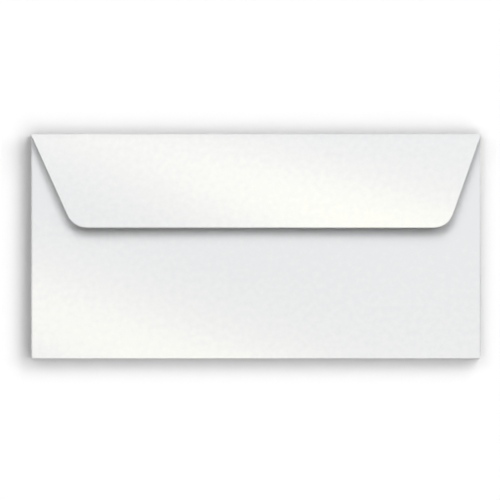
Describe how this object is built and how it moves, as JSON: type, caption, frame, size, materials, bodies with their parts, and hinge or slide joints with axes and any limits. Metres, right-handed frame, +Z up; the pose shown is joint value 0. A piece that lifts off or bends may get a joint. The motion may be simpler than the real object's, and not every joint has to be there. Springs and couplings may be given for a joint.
{
  "type": "paper envelope",
  "caption": "Long pearl-white paper envelope folded from one sheet, with a deep round-cornered closing flap sprung slightly open over the back.",
  "frame": {"origin": "centre of the bounding box at its lowest plane, under the middle of the address panel", "axes": "+X along the long folds to the picture's right, +Y across the short side to the closing fold, +Z up from the address panel to the flap side"},
  "size_m": [0.22, 0.11, 0.0018],
  "materials": {
    "pearl_paper": "smooth pearlescent white paper with a fine fibre grain and a soft satin sheen"
  },
  "bodies": {
    "root": {"envelope_sheet": "pearl_paper"}
  },
  "joints": []
}
